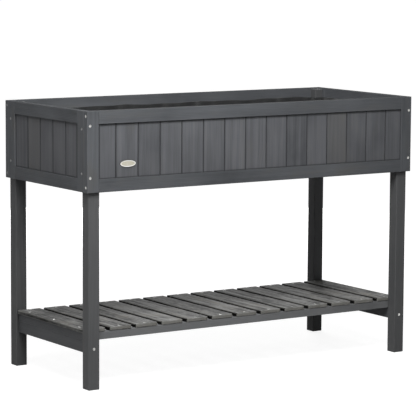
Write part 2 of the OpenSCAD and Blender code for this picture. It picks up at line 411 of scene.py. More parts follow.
@dataclass(frozen=True)
class Timber:
    """How the wood grew and was sawn, the same for every piece.

    The first patterns are the noises of its figure. Apart is how far from each other two
    pieces may lie in the log, across and along it, and lean how much the grain runs out.
    Rings are bent by bend, by swell round a knot, and by taper for each metre; each climbs
    to its late wood over climb and ends over drop, as shares of a ring. Knots lie one in a
    cell, knot_cells to a metre; eye and swelling are the distances from a knot's middle, in
    cells, at which its eye and the swelling round it begin and are full.
    """

    bends: Pattern = Pattern(9.0, 1.6)
    streaks: Pattern = Pattern(70.0, 1.9, 3.0, 0.55)
    fibres: Pattern = Pattern(620.0, 11.0, 2.0, 0.6)
    mottle: Pattern = Pattern(34.0, 9.0, 2.0, 0.6)
    specks: Pattern = Pattern(150.0, 60.0, 2.0, 0.7)
    cloud_length: float = 0.55
    apart: tuple[float, float] = (0.9, 1.7)
    lean: float = 0.012
    pith_aside: float = 18 * MM
    bend: float = 14 * MM
    swell: float = 9 * MM
    taper: float = 0.006
    climb: tuple[float, float] = (0.25, 0.86)
    drop: tuple[float, float] = (1.0, 0.9)
    knot_cells: tuple[float, float] = (7.0, 3.2)
    eye: tuple[float, float] = (0.06, 0.03)
    swelling: tuple[float, float] = (0.26, 0.04)


@dataclass(frozen=True)
class StainAndShade:
    """How stain takes to wood, and where shade is painted on it, the same for every piece.

    Stain_and_shade is how dark it is where stain has collected and where shade is painted, as
    a share of the finish's deep colour, and gap_shade_dark the same for the painted shade on a
    slat's sides beside a gap. A pair says where an effect begins and where it is full.
    Thin_mottle and thin_cloud are for stain that is thin, smudge for stain that is thick, and
    warmed for boards that show more of their tint. Upper, inward, endward and sideways say how
    far a face must turn to the sky, the panel's middle, the grain's end and the next slat.
    Edge is the distance from an arris over which it is paler, partly rubbed and partly a
    painted highlight, near_end the distance from a piece's end over which it is painted paler,
    as if lit, and outermost that from the end of the row of slats. Edge_wander and
    lower_shade_wander are how far mottle moves the pale edge and the top of the painted shade
    on a lower part. The others say how much stain, painted shade and end grain's colour such
    places hold: recess_shade_on_rails and recess_shade_on_stiles the painted shade on sides
    that face the boards, on_brinks that on a slat's brink, and spared how much less the row's
    outermost sides get. Relief is the raised grain's height and its strength.
    """

    # Collected stain and painted shade share the first colour; the second is painted shade on slat sides
    # beside a gap.
    stain_and_shade: float = 0.42
    gap_shade_dark: float = 0.1
    thin_mottle: tuple[float, float] = (0.45, 0.75)
    thin_cloud: tuple[float, float] = (0.35, 0.65)
    smudge: tuple[float, float] = (0.45, 0.25)
    warmed: tuple[float, float] = (0.55, 0.9)
    upper: tuple[float, float] = (0.4, 0.9)
    inward: tuple[float, float] = (0.5, 0.9)
    endward: tuple[float, float] = (0.7, 0.9)
    sideways: tuple[float, float] = (0.35, 0.8)
    # Paler arrises: partly rubbing, partly a painted highlight.
    edge: tuple[float, float] = (2.4 * MM, 0.2 * MM)
    # The distance over which a slat's ends are painted paler, as if lit.
    near_end: tuple[float, float] = (110 * MM, 15 * MM)
    outermost: tuple[float, float] = (14 * MM, 7 * MM)
    edge_wander: float = 3.2 * MM
    lower_shade_wander: float = 30 * MM
    in_knots: float = 0.55
    # Painted shade on the sides of rails and stiles down in the recess by the boards.
    recess_shade_on_rails: float = 0.7
    recess_shade_on_stiles: float = 0.3
    on_ends: float = 0.75
    on_brinks: float = 0.95
    spared: float = 0.85
    relief: tuple[float, float] = (0.45 * MM, 0.7)


TIMBER = Timber()
STAIN_AND_SHADE = StainAndShade()


def dimmed(colour: Colour, by: float) -> Colour:
    """A colour times a number."""
    return tuple(by * part for part in colour)


class StainedWood:
    """Makes the material of one wooden piece."""

    def __init__(self, finish: WoodFinish, grain: Grain, name: str) -> None:
        """Starts a material with the nodes of its boards and of their figure.

        Args:
            finish: The stain.
            grain: How this piece's wood lies.
            name: The piece's name.
        """
        self.finish = finish
        self.grain = grain
        self.material, self.tree, self.point = new_material(f"wood_{name}")
        self.chance = [float(c) for c in np.random.default_rng(grain.seed).uniform(-1.0, 1.0, 4)]
        self.joint, self.lot = self.board()
        self.figure = self.patterns()

    def board(self) -> tuple[Value | None, list[Value | float]]:
        """Which board of a row a point is on.

        The point's place along the row, in board widths, is rounded to a whole number
        that is the board's, and what is left over gives the distance to its joint.

        Returns:
            The distance to the nearest joint, or None for a single piece, and three
            chance numbers from -1 to 1 for the board.
        """
        row = self.grain.row
        if row is None:
            return None, self.chance[:3]
        tree = self.tree
        across = self.point[row.across] / row.cover
        number = tree.maths("FLOOR", across + 0.5)
        joint = (0.5 - abs(across - number)) * row.cover
        lot = tree.node("ShaderNodeTexWhiteNoise", {"noise_dimensions": "1D"}, {
            "W": number + 0.37 * self.grain.seed,
        })
        return joint, [part * 2.0 - 1.0 for part in tree.split(lot.outputs["Color"])]

    def grown(self) -> list[Value]:
        """The point in the log that the piece was sawn from.

        Returns:
            Two values across the grain and one along it, turned a little and shifted by
            the chance numbers, so that no two pieces show the same wood.
        """
        along = self.point[self.grain.along]
        across = [self.point[axis] for axis in Axis if axis != self.grain.along]
        lean = TIMBER.lean * self.chance[3]
        aside, ahead = TIMBER.apart
        return [
            across[0] + along * lean + self.lot[0] * aside,
            across[1] + along * (0.5 * lean) + self.lot[1] * aside,
            along + self.lot[2] * ahead,
        ]

    def rings(self, wood: list[Value], swell: Value) -> Value:
        """The pale late wood of the growth rings.

        The distance from a pith line under the face, bent by slow noise and by knots, is
        counted in ring gaps; each ring climbs slowly to its late wood and drops at once.

        Args:
            wood: The point in the log.
            swell: The swelling round the knots, from 0 to 1.

        Returns:
            How much late wood there is, from 0 to 1.
        """
        tree, lot = self.tree, self.lot
        a, b, c = wood
        bend = tree.noise(wood, TIMBER.bends) * TIMBER.bend
        low, high = self.grain.low, self.grain.high
        mid = [(low[axis] + high[axis]) / 2 for axis in Axis if axis != self.grain.along]
        shift = lot[0] * TIMBER.apart[0], lot[1] * TIMBER.apart[0]
        side = a - mid[0] - shift[0] + lot[2] * TIMBER.pith_aside
        deep = b - mid[1] - shift[1] + self.finish.pith_depth
        reach = (side * side + deep * deep) ** 0.5 + bend + swell * TIMBER.swell + c * TIMBER.taper
        phase = tree.maths("FRACT", reach / self.finish.ring_gap)
        return tree.ease(phase, *TIMBER.climb) * tree.ease(phase, *TIMBER.drop)

    def knot(self, wood: list[Value]) -> tuple[Value, Value]:
        """Where the knots are.

        Each cell of a coarse grid in the wood has a chance of one oval knot.

        Args:
            wood: The point in the log.

        Returns:
            The knot's dark eye, and the wider swelling round it, from 0 to 1.
        """
        tree, (aside, ahead) = self.tree, TIMBER.knot_cells
        a, b, c = wood
        cell = tree.node("ShaderNodeTexVoronoi", {"feature": "F1"}, {
            "Vector": tree.vector(a * aside, b * aside, c * ahead), "Scale": 1.0, "Randomness": 0.85,
        })
        away = Value(tree, cell.outputs["Distance"])
        chance = tree.split(cell.outputs["Color"])[0]
        lucky = tree.ease(chance, 1.0 - self.finish.knots, 1.001 - self.finish.knots)
        return tree.ease(away, *TIMBER.eye) * lucky, tree.ease(away, *TIMBER.swelling) * lucky

    def inset(self, axis: Axis) -> Value:
        """How deep a point lies in the piece's box along one direction, from its nearer side."""
        low, high = self.grain.low[axis], self.grain.high[axis]
        return (high - low) / 2 - abs(self.point[axis] - (low + high) / 2)

    def arris(self) -> Value:
        """The distance to the nearest edge: the middle one of the three depths."""
        x, y, z = (self.inset(axis) for axis in Axis)
        return self.tree.most(self.tree.least(x, y), self.tree.least(self.tree.most(x, y), z))

    def patterns(self) -> Figure:
        """The figure of the piece's wood.

        Returns:
            Its patterns.
        """
        tree, size = self.tree, self.finish.cloud_size
        wood = self.grown()
        eye, swell = self.knot(wood)
        clouds = Pattern(1.0 / size, TIMBER.cloud_length / size, 3.0, 0.55, 0.3)
        noises = (TIMBER.streaks, TIMBER.fibres, TIMBER.mottle, clouds)
        streak, fibre, mottle, cloud = (tree.noise(wood, pattern) for pattern in noises)
        speck = tree.noise(wood, TIMBER.specks) if self.finish.specks else 0.5
        return Figure(streak, fibre, mottle, cloud, speck, self.rings(wood, swell), eye)

    def tone(self) -> Value:
        """How pale the wood is.

        Each pattern moves the tone up or down from its middle by the finish's strength for
        it; streaks and rings are livelier on some boards than on others.

        Returns:
            The tone, from 0, deep, to 1, pale.
        """
        finish, figure, lot = self.finish, self.figure, self.lot
        lively = lot[2] * 0.35 + 0.65
        tone = (figure.streak - 0.5) * finish.streaks * lively
        tone = tone + (figure.late - 0.4) * finish.ringed * lively
        tone = tone + (figure.fibre - 0.5) * finish.fibres + (figure.cloud - 0.5) * finish.clouds
        tone = tone + (figure.speck - 0.5) * finish.specks + lot[1] * finish.lots + 0.5
        # Painted light: a slat's two ends are paler than its middle, as if lit more.
        if finish.painted_end_light:
            tone = tone + (self.near_end() - 0.35) * finish.painted_end_light
        return tone

    def stain_and_shade_places(self) -> list[Value]:
        """Where stain has collected, and where shade is painted.

        Returns:
            How much real stain there is in knots and smudges, and how much painted shade
            on the lower part, on upper faces against the light from above, and on the sides of a
            frame that face its boards, where these apply.
        """
        tree, finish, figure = self.tree, self.finish, self.figure
        smudged = tree.ease(figure.cloud, *STAIN_AND_SHADE.smudge) * finish.smudges
        places = [figure.eye * STAIN_AND_SHADE.in_knots + smudged]
        # Painted shade: the piece is darker towards its bottom.
        if finish.lower_shade:
            height = self.point[Axis.Z] + (figure.mottle - 0.5) * STAIN_AND_SHADE.lower_shade_wander
            places.append(tree.ease(height, *finish.lower_shade_heights) * finish.lower_shade)
        # Painted shade: upper faces are darker, against the light from above.
        if finish.top_shade_and_matt:
            places.append(self.facing_up() * finish.top_shade_and_matt)
        # Painted shade on the sides of rails and stiles that face the boards, down in the recess.
        if self.grain.inner:
            axis, sign = self.grain.inner
            recess_shade = STAIN_AND_SHADE.recess_shade_on_rails if axis == Axis.Z else STAIN_AND_SHADE.recess_shade_on_stiles
            places.append(tree.ease(tree.normal(axis) * sign, *STAIN_AND_SHADE.inward) * recess_shade)
        return places

    def colour(self) -> Value:
        """The colour of the wood.

        The stain goes from deep to pale, is thinner in patches, and darker where it has
        collected; painted shade darkens it where shade falls and beside the slats' gaps. End
        grain has its own colour, and arrises are paler, partly rubbed and partly a painted
        highlight; the boards of a row have stain and painted shade in their joints, and painted
        shade along their frame, instead.

        Returns:
            The colour.
        """
        tree, finish, figure = self.tree, self.finish, self.figure
        # The colours of collected stain with painted shade, and of painted shade in slat gaps.
        stain_and_shade, gap_shadow = (dimmed(finish.deep, by) for by in (STAIN_AND_SHADE.stain_and_shade, STAIN_AND_SHADE.gap_shade_dark))
        colour = tree.mix(finish.deep, finish.pale, self.tone())
        thin = tree.ease(figure.mottle, *STAIN_AND_SHADE.thin_mottle) * tree.ease(figure.cloud, *STAIN_AND_SHADE.thin_cloud)
        thin = thin * finish.tinted
        if finish.warm:
            thin = thin + tree.ease(self.lot[0], *STAIN_AND_SHADE.warmed) * finish.warm
        colour = tree.mix(colour, finish.tint, thin)
        for amount in self.stain_and_shade_places():
            colour = tree.mix(colour, stain_and_shade, amount)
        # Painted shade on the slats' long sides and brinks beside their gaps.
        if finish.gap_shade:
            colour = tree.mix(colour, gap_shadow, self.gap_shade_mask() * finish.gap_shade)
        end_face = tree.ease(abs(tree.normal(self.grain.along)), *STAIN_AND_SHADE.endward)
        butt = tree.mix(finish.end, finish.pale, figure.late * 0.5 + (figure.fibre - 0.5) * 0.4)
        colour = tree.mix(colour, butt, end_face * STAIN_AND_SHADE.on_ends)
        # Stain and painted shade in the boards' joints, and painted shade along their frame.
        if self.joint is not None:
            return tree.mix(colour, stain_and_shade, self.joint_shade())
        # Paler arrises: partly rubbing, partly a painted highlight.
        edge = self.arris() + (figure.mottle - 0.5) * STAIN_AND_SHADE.edge_wander
        return tree.mix(colour, finish.worn_and_lit_arris, tree.ease(edge, *STAIN_AND_SHADE.edge) * finish.arris_wear_and_highlight)

    def build(self) -> bpy.types.Material:
        """Adds the nodes of the finish.

        Returns:
            The material.
        """
        tree, finish, figure = self.tree, self.finish, self.figure
        height = figure.fibre * 0.55 + figure.late * 0.3 + figure.streak * 0.35 - figure.eye * 0.4
        rough = finish.roughness + (figure.fibre - 0.5) * 0.16
        rough = rough - figure.late * 0.05 + (figure.cloud - 0.5) * 0.08
        # Upper faces are more matt, alongside the painted shade on their colour.
        if finish.top_shade_and_matt:
            rough = tree.most(rough, self.facing_up() * finish.top_shade_and_matt)
        tree.surface({
            "Base Color": self.colour(),
            "Roughness": rough,
            "Specular IOR Level": finish.specular,
            "Normal": tree.bump(height, *STAIN_AND_SHADE.relief),
        })
        return self.material

    def facing_up(self) -> Value:
        """1 on upper faces, 0 on upright ones."""
        return self.tree.ease(self.tree.normal(Axis.Z), *STAIN_AND_SHADE.upper)

    def near_end(self) -> Value:
        """1 at the two ends of a long piece, and 0 further from them than a hand's width."""
        return self.tree.ease(self.inset(self.grain.along), *STAIN_AND_SHADE.near_end)

    def gap_shade_mask(self) -> Value:
        """Painted shade on a slat's narrow long sides beside a gap, and on the brink of its face.

        Returns:
            1 on a side, a little less on the brink, and little on the row's outermost sides.
        """
        tree, brink = self.tree, self.finish.brink
        across = Axis.X if self.grain.along == Axis.Y else Axis.Y
        dark = tree.most(
            tree.ease(abs(tree.normal(across)), *STAIN_AND_SHADE.sideways),
            tree.ease(self.inset(across), brink, 0.5 * brink) * STAIN_AND_SHADE.on_brinks,
        )
        outermost = tree.ease(self.grain.row_end - abs(self.point[across]), *STAIN_AND_SHADE.outermost)
        return dark * (1.0 - outermost * STAIN_AND_SHADE.spared)

    def joint_shade(self) -> Value:
        """Stain and painted shade in the outer faces' V joints, and painted shade along their frame.

        Returns:
            How much there is, from 0 to 1.
        """
        tree, row, joint = self.tree, self.grain.row, self.joint
        third = next(axis for axis in Axis if axis not in (self.grain.along, row.across))
        depth = row.face - abs(self.point[third])
        # Stain and painted shade down in a V joint, and painted shade on the boards beside it.
        inside = tree.ease(depth, *row.deep) * tree.ease(joint, 1.3 * row.vee, 0.9 * row.vee)
        lip = tree.ease(joint, 2.2 * row.vee, row.vee) * row.lip
        place, height = self.point[row.across], self.point[Axis.Z]
        low, high, bottom, top = row.opening
        near, far = row.lee
        low_shade, high_shade, under_shade, over_shade = row.shades
        # Painted shade beside the stiles, under the top rail and over the bottom rail, where the recess
        # lies in shade.
        beside = tree.most(
            tree.ease(place - low, near, 0.6 * near) * low_shade,
            tree.ease(high - place, far, 0.6 * far) * high_shade,
        )
        under = tree.ease(top - height, *row.under) * under_shade
        over = tree.ease(height - bottom, *row.over) * over_shade
        framed = tree.most(tree.most(beside, under), over) * tree.ease(depth, *row.outer)
        return tree.most(tree.most(inside * row.filled, lip), framed)


@dataclass(frozen=True)
class FeltFinish:
    """Black needled felt with pale stray fibres.

    Clouds are its slow changes of thickness, tangles its short fibres, and strays the long
    ones that lie on top.
    """

    dark: Colour = (0.010, 0.0105, 0.011)
    pale: Colour = (0.045, 0.046, 0.047)
    roughness: float = 0.95
    clouds: Pattern = Pattern(30.0, 30.0)
    tangles: Pattern = Pattern(900.0, 900.0, 3.0, 0.65, 1.4)
    strays: Pattern = Pattern(260.0, 420.0, 3.0, 0.6, 2.6)

    def build(self) -> bpy.types.Material:
        """Adds the felt's nodes: short tangled fibres, stray ones and slow clouds of thickness.

        Returns:
            The material.
        """
        material, tree, point = new_material("black_felt")
        noises = (self.clouds, self.tangles, self.strays)
        cloud, tangle, stray = (tree.noise(point, pattern) for pattern in noises)
        share = tree.ease(tangle, 0.42, 0.78) * 0.55 + tree.ease(stray, 0.58, 0.7) * 0.5
        share = share + (cloud - 0.5) * 0.25
        tree.surface({
            "Base Color": tree.mix(self.dark, self.pale, share),
            "Roughness": self.roughness - (tangle - 0.5) * 0.1,
            "Specular IOR Level": 0.2,
            "Sheen Weight": 0.25,
            "Sheen Roughness": 0.6,
            "Normal": tree.bump(tangle * 0.6 + stray * 0.5 + cloud * 0.4, 0.8 * MM, 0.8),
        })
        return material


@dataclass(frozen=True)
class ZincFinish:
    """Bright zinc plate on the screws, a little uneven from the bath.

    Ends and rear say how much painted shade darkens the heads in the bed's end faces, and
    those in its rear half, and dims their reflection.
    """

    name: str = "bright_zinc"
    bright: Colour = (0.56, 0.56, 0.54)
    dull: Colour = (0.20, 0.20, 0.20)
    # Painted shade: the dark colour of the heads that stand in shade.
    stained: Colour = (0.13, 0.133, 0.138)
    roughness: float = 0.34
    ends: float = 0.0
    rear: float = 0.0
    clouds: Pattern = Pattern(420.0, 420.0, 3.0, 0.6)
    specks: Pattern = Pattern(2600.0, 2600.0)

    def build(self) -> bpy.types.Material:
        """Adds the nodes of the plating: cloudy patches, and painted shade on the heads in the end faces
        and the rear half.

        Returns:
            The material.
        """
        material, tree, point = new_material(self.name)
        x, y, _ = point
        cloud, speck = tree.noise(point, self.clouds), tree.noise(point, self.specks)
        dulled = tree.ease(cloud, 0.35, 0.75)
        colour = tree.mix(self.bright, self.dull, dulled * 0.7)
        metallic = 1.0
        # Painted shade: heads in the end faces and in the rear half are darker and less metallic, which
        # dims their reflection.
        if self.ends or self.rear:
            on_ends = tree.ease(abs(x), frame_end() - 4 * MM, frame_end() - 3 * MM) * self.ends
            under = tree.most(on_ends, tree.ease(y, -1 * MM, 1 * MM) * self.rear)
            colour = tree.mix(colour, self.stained, under)
            metallic = metallic - under * 0.7
        tree.surface({
            "Base Color": colour,
            "Metallic": metallic,
            "Roughness": self.roughness + dulled * 0.2 + (speck - 0.5) * 0.1,
            "Normal": tree.bump(speck * 0.5 + cloud, 0.06 * MM, 0.5),
        })
        return material


@dataclass(frozen=True)
class EnamelFinish:
    """Baked enamel on the small plate: its colour, and how far it wanders towards soiled.

    Where field is given, it is the colour inside an oval, whose middle and half axes are
    in oval.
    """

    name: str
    colour: Colour
    soiled: Colour
    roughness: float
    metallic: float = 0.0
    field: Colour | None = None
    oval: tuple[float, float, float, float] = (0.0, 0.0, 1.0, 1.0)
    clouds: Pattern = Pattern(120.0, 120.0)
    peel: Pattern = Pattern(1500.0, 1500.0)

    def build(self) -> bpy.types.Material:
        """Adds the enamel's nodes: faint clouds, fine orange peel and a soft coat.

        Returns:
            The material.
        """
        material, tree, point = new_material(self.name)
        x, _, z = point
        cloud, peel = tree.noise(point, self.clouds), tree.noise(point, self.peel)
        colour = self.colour
        if self.field:
            mid_x, mid_z, half_x, half_z = self.oval
            away = ((x - mid_x) / half_x) ** 2.0 + ((z - mid_z) / half_z) ** 2.0
            colour = tree.mix(self.field, self.colour, tree.ease(away, 0.85, 1.05))
        tree.surface({
            "Base Color": tree.mix(colour, self.soiled, tree.ease(cloud, 0.45, 0.8) * 0.4),
            "Metallic": self.metallic,
            "Roughness": self.roughness + (cloud - 0.5) * 0.12,
            "Coat Weight": 0.3,
            "Coat Roughness": 0.15,
            "Normal": tree.bump(peel + cloud * 0.5, 0.03 * MM, 0.5),
        })
        return material


def frame_end() -> float:
    """The distance from the bed's middle to the outer face of its end panels."""
    return float(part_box("right_top_rail")[1].x)


def grid_faces(rows: int, columns: int) -> np.ndarray:
    """Quads of a grid of points whose columns close into rings.

    Point (r, c) is number r * columns + c. Each quad joins a point to the next one in its
    ring and to the two beside them in the next ring.

    Args:
        rows: How many rings there are.
        columns: How many points each ring has.

    Returns:
        An array of four point numbers a face.
    """
    r, c = np.meshgrid(np.arange(rows - 1), np.arange(columns), indexing="ij")
    here, beside = r * columns + c, r * columns + (c + 1) % columns
    return np.stack([here, beside, beside + columns, here + columns], axis=-1).reshape(-1, 4)


def make_mesh(name: str, points: np.ndarray, faces: np.ndarray, material: bpy.types.Material,
              weld: float = 1e-6, sharp: float = 40.0) -> bpy.types.Object:
    """Puts points and faces into a new piece at the frame's origin.

    Args:
        name: The piece's name.
        points: An array of points.
        faces: An array of four point numbers a face.
        material: The piece's material.
        weld: Points closer than this become one, which closes poles.
        sharp: Edges that turn by more degrees than this are sharp.

    Returns:
        The object.
    """
    mesh = bpy.data.meshes.new(name)
    mesh.from_pydata(points.reshape(-1, 3).tolist(), [], faces.tolist())
    mesh.materials.append(material)
    made = new_object(name, mesh)
    clean_up(made, weld)
    mesh.polygons.foreach_set("use_smooth", np.ones(len(mesh.polygons), bool))
    mesh.set_sharp_from_angle(angle=math.radians(sharp))
    return made


def clean_up(made: bpy.types.Object, weld: float) -> None:
    """Merges a mesh's doubled points and drops the faces that this leaves without area.

    Args:
        made: The object.
        weld: Points closer than this become one.
    """
    work = bmesh.new()
    work.from_mesh(made.data)
    bmesh.ops.remove_doubles(work, verts=work.verts, dist=weld)
    bmesh.ops.dissolve_degenerate(work, edges=work.edges, dist=weld)
    work.to_mesh(made.data)
    work.free()


def declare(piece: bpy.types.Object, node: str | None = None) -> None:
    """Says what a new piece is, and reports it.

    Args:
        piece: The piece.
        node: The CAD node that it stands for, if there is one.
    """
    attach(piece, "root")
    if node:
        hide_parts(node)
    LOG.info("made %s of %d faces", piece.name, len(piece.data.polygons))


def corners(low: Vector, high: Vector) -> np.ndarray:
    """The two corners of a box as rows of an array."""
    return np.array([low, high])


def shaded(finish: WoodFinish, by: float) -> WoodFinish:
    """The same finish with its streaks paler or darker by a factor: a lit or shaded copy, which paints
    light or shade into its colour.
    """
    return replace(finish, deep=dimmed(finish.deep, by), pale=dimmed(finish.pale, by))


def put_on(name: str, material: bpy.types.Material) -> None:
    """Gives a CAD node its material and reports it.

    Args:
        name: The node.
        material: Its material.
    """
    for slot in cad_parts[name].material_slots:
        slot.material = material
    LOG.info("dressed %s in %s", name, material.name)


def dress(name: str, finish: WoodFinish, along: Axis, seed: int,
          inner: tuple[Axis, float] | None = None, row_end: float = 0.0) -> None:
    """Stains one single wooden piece.

    Args:
        name: The CAD node.
        finish: Its stain.
        along: The direction of its grain.
        seed: Picks its part of the pattern.
        inner: For a rail or stile, the direction to the middle of its panel.
        row_end: For a slat, how far from the frame's middle the row of slats ends.
    """
    low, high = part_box(name)
    grain = Grain(along=along, low=low, high=high, seed=seed, inner=inner, row_end=row_end)
    put_on(name, StainedWood(finish, grain, name).build())


@dataclass
class Frames:
    """The framed panels of the box: four rails or stiles round a row of upright boards.

    Ends_darker is the tone of the end panels' boards against the long ones': a shaded copy
    of their finish, which paints shade into the end panels. Lee and lip, for the long panels
    and the short ones, are as in BoardRow: the painted shade beside the stiles and beside the
    V joints.
    """

    # Painted shade: the frame's upper faces are darker, against the light from above.
    frame_finish: WoodFinish = WoodFinish(
        deep=(0.072, 0.076, 0.082), pale=(0.137, 0.144, 0.155), tint=(0.117, 0.113, 0.104),
        worn_and_lit_arris=(0.180, 0.186, 0.195), end=(0.066, 0.069, 0.074), tinted=0.45, arris_wear_and_highlight=0.22,
        specular=0.12, clouds=1.5, streaks=1.0, top_shade_and_matt=0.9,
    )
    # Painted shade: the boards are darker towards their lower ends.
    board_finish: WoodFinish = WoodFinish(
        deep=(0.080, 0.083, 0.090), pale=(0.170, 0.174, 0.187), tint=(0.142, 0.138, 0.128),
        worn_and_lit_arris=(0.190, 0.195, 0.205), end=(0.070, 0.072, 0.078), tinted=0.25, knots=0.10,
        warm=0.35, clouds=1.3, cloud_size=150 * MM, lots=0.12, streaks=1.4, fibres=0.7,
        lower_shade=0.10, lower_shade_heights=(680 * MM, 570 * MM),
    )
    # Painted shade: the end panels' boards are a darker copy of the long panels' finish.
    ends_darker: float = 0.92
    cover: float = 70.5 * MM
    # Painted shade beside the stiles and the V joints, wider on the end panels.
    lee_long: tuple[float, float] = (7.0 * MM, 4.0 * MM)
    lee_short: tuple[float, float] = (15.0 * MM, 5.0 * MM)
    lip_long: float = 0.22
    lip_short: float = 0.60
    seed: int = 100
    made: list[str] = field(default_factory=list)

    def dress_rail(self, name: str, along: Axis, inner: tuple[Axis, float]) -> None:
        """Stains one rail or stile.

        Args:
            name: The CAD node.
            along: The direction of its grain.
            inner: The direction to the middle of its panel, as an axis and a sign.
        """
        dress(name, self.frame_finish, along, self.seed + len(self.made), inner)
        self.made.append(name)

    def dress_boards(self, side: str, across: Axis, ends: tuple[str, str]) -> None:
        """Stains the boards of one panel.

        Args:
            side: The panel's side of the bed.
            across: The direction of the row.
            ends: The names of the row's low and high end.
        """
        name = f"{side}_boards"
        low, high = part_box(name)
        third = Axis.Y if across == Axis.X else Axis.X
        long = across == Axis.X
        first, last = (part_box(f"{side}_{end}_stile") for end in ends)
        bottom, top = (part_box(f"{side}_{rail}_rail") for rail in ("bottom", "top"))
        row = BoardRow(
            across=across, cover=self.cover, face=max(abs(low[third]), abs(high[third])),
            opening=(first[1][across], last[0][across], bottom[1].z, top[0].z),
            lee=self.lee_long if long else self.lee_short,
            lip=self.lip_long if long else self.lip_short,
        )
        grain = Grain(along=Axis.Z, low=low, high=high, seed=self.seed + len(self.made), row=row)
        # The end panels' boards take the darker copy: painted shade.
        finish = self.board_finish if long else shaded(self.board_finish, self.ends_darker)
        put_on(name, StainedWood(finish, grain, name).build())
        self.made.append(name)

    def build(self) -> None:
        """Stains all four panels."""
        for side, row, ends in (
            ("front", Axis.X, ("left", "right")), ("rear", Axis.X, ("left", "right")),
            ("left", Axis.Y, ("front", "rear")), ("right", Axis.Y, ("front", "rear")),
        ):
            for rail, sign in (("top", -1.0), ("bottom", 1.0)):
                self.dress_rail(f"{side}_{rail}_rail", row, (Axis.Z, sign))
            for end, sign in zip(ends, (1.0, -1.0)):
                self.dress_rail(f"{side}_{end}_stile", Axis.Z, (row, sign))
            self.dress_boards(side, row, ends)


@dataclass
class Legs:
    """The four square legs.

    Tones gives each leg's place, how much paler or darker its colour is painted for the light
    that falls on it, and how much painted shade darkens it below the shelf.
    """

    finish: WoodFinish = WoodFinish(
        deep=(0.070, 0.071, 0.073), pale=(0.121, 0.123, 0.126), tint=(0.113, 0.110, 0.102),
        worn_and_lit_arris=(0.160, 0.163, 0.167), end=(0.050, 0.051, 0.053), tinted=0.10, arris_wear_and_highlight=0.30,
        streaks=0.6, fibres=0.5,
    )
    # Painted light and shade: the front left leg is paler and the front right darker, as lit, and the
    # rear legs are darker below the shelf, where its shadow falls.
    tones: tuple[tuple[str, float, float], ...] = (
        ("front_left", 1.15, 0.0), ("front_right", 0.96, 0.0),
        ("rear_left", 1.02, 0.35), ("rear_right", 1.08, 0.9),
    )
    seed: int = 200

    def build(self) -> None:
        """Stains the legs, with the grain upright, each with its painted light and low shade."""
        for number, (place, pale, lower_shade) in enumerate(self.tones):
            finish = replace(shaded(self.finish, pale), lower_shade=lower_shade)
            dress(f"leg_{place}", finish, Axis.Z, self.seed + number)


@dataclass
class Shelf:
    """The slatted shelf, with its battens and the rails that carry it."""

    # Painted shade on the slats' long sides and brinks beside their gaps, and painted light at their two
    # ends.
    slat_finish: WoodFinish = WoodFinish(
        deep=(0.072, 0.072, 0.070), pale=(0.276, 0.276, 0.270), tint=(0.178, 0.160, 0.126),
        worn_and_lit_arris=(0.335, 0.328, 0.302), end=(0.220, 0.215, 0.193), tinted=0.55, arris_wear_and_highlight=0.40,
        roughness=0.8, specular=0.02, streaks=1.7, fibres=1.2, ringed=0.5, clouds=2.2,
        cloud_size=50 * MM, specks=1.2, smudges=0.55, gap_shade=1.0, brink=3.5 * MM, knots=0.2,
        painted_end_light=0.10,
    )
    rail_finish: WoodFinish = WoodFinish(
        deep=(0.063, 0.065, 0.069), pale=(0.115, 0.119, 0.125), tint=(0.106, 0.103, 0.094),
        worn_and_lit_arris=(0.160, 0.164, 0.170), end=(0.060, 0.062, 0.066), tinted=0.12, arris_wear_and_highlight=0.25,
        streaks=1.0,
    )
    # Painted light: the long battens are painted paler than the rails, for light that the shelf lacks.
    batten_finish: WoodFinish = WoodFinish(
        deep=(0.125, 0.128, 0.131), pale=(0.217, 0.222, 0.227), tint=(0.180, 0.176, 0.160),
        worn_and_lit_arris=(0.240, 0.244, 0.246), end=(0.100, 0.102, 0.104), tinted=0.15, arris_wear_and_highlight=0.20,
        streaks=0.8,
    )
    slats: int = 13
    seed: int = 300

    def build(self) -> None:
        """Stains the slats along Y, the side members along Y and the long battens along X."""
        row_end = float(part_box(f"shelf_slat_{self.slats}")[1].x)
        for number in range(1, self.slats + 1):
            name = f"shelf_slat_{number}"
            dress(name, self.slat_finish, Axis.Y, self.seed + number, row_end=row_end)
        for number, side in enumerate(("left", "right")):
            dress(f"shelf_{side}_rail", self.rail_finish, Axis.Y, self.seed + 50 + number)
            dress(f"shelf_{side}_batten", self.rail_finish, Axis.Y, self.seed + 60 + number)
        for number, side in enumerate(("front", "rear")):
            dress(f"shelf_{side}_batten", self.batten_finish, Axis.X, self.seed + 70 + number)


@dataclass
class Floor:
    """The box's floor: boards across the bed on two ledgers."""

    finish: WoodFinish = WoodFinish(
        deep=(0.080, 0.083, 0.087), pale=(0.150, 0.154, 0.160), tint=(0.150, 0.138, 0.112),
        worn_and_lit_arris=(0.200, 0.200, 0.195), end=(0.075, 0.076, 0.078), tinted=0.30, arris_wear_and_highlight=0.25,
    )
    boards: int = 9
    seed: int = 400

    def build(self) -> None:
        """Stains the boards along Y and the ledgers along X."""
        for number in range(1, self.boards + 1):
            dress(f"floor_board_{number}", self.finish, Axis.Y, self.seed + number)
        for number, side in enumerate(("front", "rear")):
            dress(f"{side}_ledger", self.finish, Axis.X, self.seed + 50 + number)


